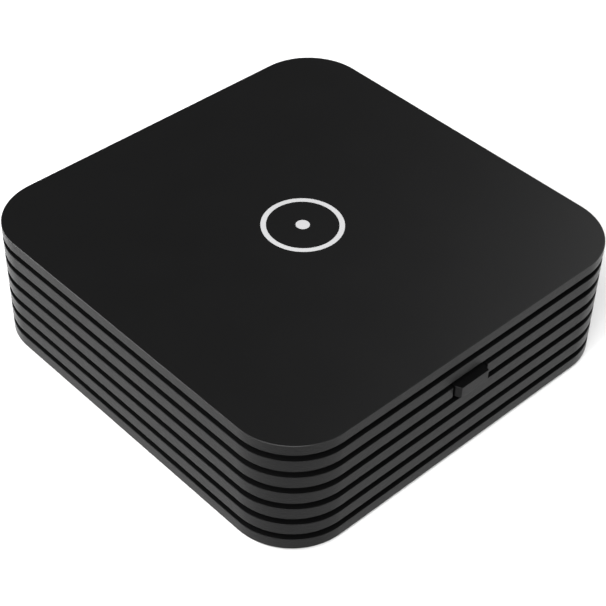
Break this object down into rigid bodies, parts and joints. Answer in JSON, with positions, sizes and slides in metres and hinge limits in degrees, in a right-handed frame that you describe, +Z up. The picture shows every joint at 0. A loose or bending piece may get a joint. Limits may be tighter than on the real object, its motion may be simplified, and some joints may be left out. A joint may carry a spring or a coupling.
{
  "type": "streaming media player",
  "caption": "Square black set-top media player with deep horizontal ribs round its sides, a push button in one rib, sockets at the back and side and boards inside",
  "frame": {"origin": "centre of the casing's base, on the surface that the feet stand on", "axes": "+Z up; the front with the power button faces -Y; the rear sockets face +Y; the USB and card sockets face +X"},
  "size_m": [0.11, 0.1114, 0.0333],
  "materials": {
    "cover_plastic": "satin, very fine even grain",
    "rib_plastic": "fine spark-eroded grain",
    "base_plastic": "fine spark-eroded grain",
    "mark_inlay": "light grey, satin",
    "label_film": "blank matt silver film",
    "foot_rubber": "matt",
    "screw_steel": "zinc plated",
    "board_laminate": "solder mask over glass laminate",
    "chip_resin": "moulded resin",
    "can_aluminium": "drawn can",
    "sink_aluminium": "extruded",
    "shield_steel": "tin plated",
    "antenna_foil": "copper foil on film",
    "contact_gold": "gold plated",
    "cable_jacket": "smooth jacket",
    "pad_silicone": "soft silicone",
    "insert_plastic": "natural nylon",
    "plunger_plastic": "nylon",
    "socket_plastic": "glass filled nylon",
    "red_lens": "clear red",
    "lamp_resin": "clear resin",
    "window_plastic": "infrared-passing dark plastic",
    "flat_cable": "polyester film"
  },
  "bodies": {
    "casing": {"top_cover": "cover_plastic", "top_mark": "mark_inlay", "rib_frame": "rib_plastic", "bottom_cover": "base_plastic", "rear_io_panel": "base_plastic", "side_io_panel": "base_plastic", "foot_front_left": "foot_rubber", "foot_front_right": "foot_rubber", "foot_rear_left": "foot_rubber", "foot_rear_right": "foot_rubber", "rating_label": "label_film", "case_screws": "screw_steel", "board_screws": "screw_steel", "main_board": "board_laminate", "soc_chip": "chip_resin", "memory_chips": "chip_resin", "flash_chip": "chip_resin", "power_inductors": "chip_resin", "capacitors": "can_aluminium", "crystal": "shield_steel", "wifi_module": "board_laminate", "wifi_shield": "shield_steel", "wifi_antenna_left": "antenna_foil", "wifi_antenna_front": "antenna_foil", "antenna_cables": "cable_jacket", "antenna_plugs": "contact_gold", "thermal_pad": "pad_silicone", "heat_sink": "sink_aluminium", "heat_sink_pins": "insert_plastic", "heat_sink_springs": "screw_steel", "dc_jack": "socket_plastic", "dc_jack_pin": "shield_steel", "ethernet_jack": "shield_steel", "ethernet_contacts": "contact_gold", "hdmi_shell": "shield_steel", "hdmi_tongue": "socket_plastic", "optical_port": "socket_plastic", "optical_lens": "red_lens", "shutter_pin": "screw_steel", "av_jack": "socket_plastic", "usb_shell_rear": "shield_steel", "usb_shell_front": "shield_steel", "usb_tongue_rear": "insert_plastic", "usb_tongue_front": "insert_plastic", "card_socket": "shield_steel", "front_board": "board_laminate", "power_switch": "chip_resin", "ir_receiver": "chip_resin", "status_led": "lamp_resin", "ir_window": "window_plastic", "front_cable": "flat_cable", "cable_sockets": "insert_plastic", "reset_switch": "chip_resin"},
    "button": {"power_button": "rib_plastic"},
    "switch_plunger": {"power_switch_plunger": "plunger_plastic"},
    "shutter": {"optical_shutter": "socket_plastic"},
    "reset_button": {"reset_plunger": "insert_plastic"}
  },
  "joints": [
    {"name": "button_press", "type": "slide", "parent": "casing", "child": "button", "axis": [0, 1, 0], "range_m": [0, 0.0004], "stiffness_N_per_m": 4000, "springref_m": -0.0003},
    {"name": "switch_press", "type": "slide", "parent": "casing", "child": "switch_plunger", "axis": [0, 1, 0], "range_m": [0, 0.0004]},
    {"name": "shutter_swing", "type": "hinge", "parent": "casing", "child": "shutter", "pos_m": [-0.0215, 0.0519, 0.01945], "axis": [-1, 0, 0], "range_deg": [0, 90], "stiffness_Nm_per_rad": 0.00005, "springref_deg": -28.65},
    {"name": "reset_press", "type": "slide", "parent": "casing", "child": "reset_button", "axis": [0, 0, 1], "range_m": [0, 0.00025], "stiffness_N_per_m": 2000, "springref_m": -0.0003}
  ],
  "couplings": [
    {"joint": "switch_press", "follows": "button_press", "ratio": 1}
  ]
}
